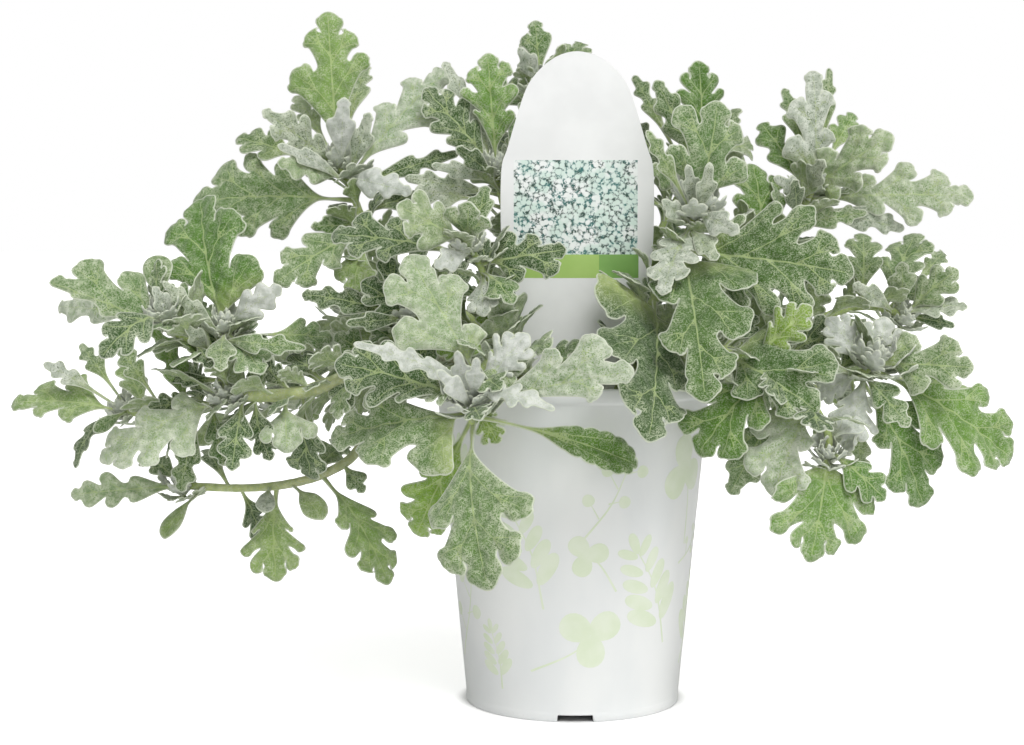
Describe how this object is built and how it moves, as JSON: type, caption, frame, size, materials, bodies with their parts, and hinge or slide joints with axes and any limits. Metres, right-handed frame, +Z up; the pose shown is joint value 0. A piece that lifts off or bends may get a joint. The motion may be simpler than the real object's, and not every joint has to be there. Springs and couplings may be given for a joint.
{
  "type": "potted artemisia",
  "caption": "Bushy artemisia with felted, lobed silver-green leaves on spreading stems, in a tapered nursery pot with soil and a plain arched plant label.",
  "frame": {"origin": "the middle of the pot's base, on the surface it stands on", "axes": "+Z up along the pot's axis, -Y towards the front that the picture shows, +X to the right seen from the front"},
  "size_m": [0.4109, 0.2763, 0.2808],
  "materials": {
    "pot": "thin white plastic with a soft satin skin",
    "label": "white printed plastic sheet",
    "soil": "dark moist potting compost",
    "foliage": "felted silver-green leaves and stems, covered in fine white hairs"
  },
  "bodies": {
    "root": {"pot": "pot", "plant_label": "label", "soil": "soil", "shoot_top_left": "foliage", "shoot_centre_left": "foliage", "shoot_upper_centre": "foliage", "shoot_back_centre": "foliage", "shoot_front": "foliage", "shoot_left": "foliage", "shoot_lower_left": "foliage", "shoot_mid_left": "foliage", "shoot_right_centre": "foliage", "shoot_right_upper": "foliage", "shoot_right_top": "foliage", "shoot_right": "foliage", "shoot_right_lower": "foliage", "shoot_right_front": "foliage", "shoot_back_left": "foliage", "shoot_back_middle": "foliage", "shoot_back_right": "foliage", "shoot_back_low_left": "foliage", "shoot_back_low_middle": "foliage", "shoot_back_low_right": "foliage"}
  },
  "joints": []
}
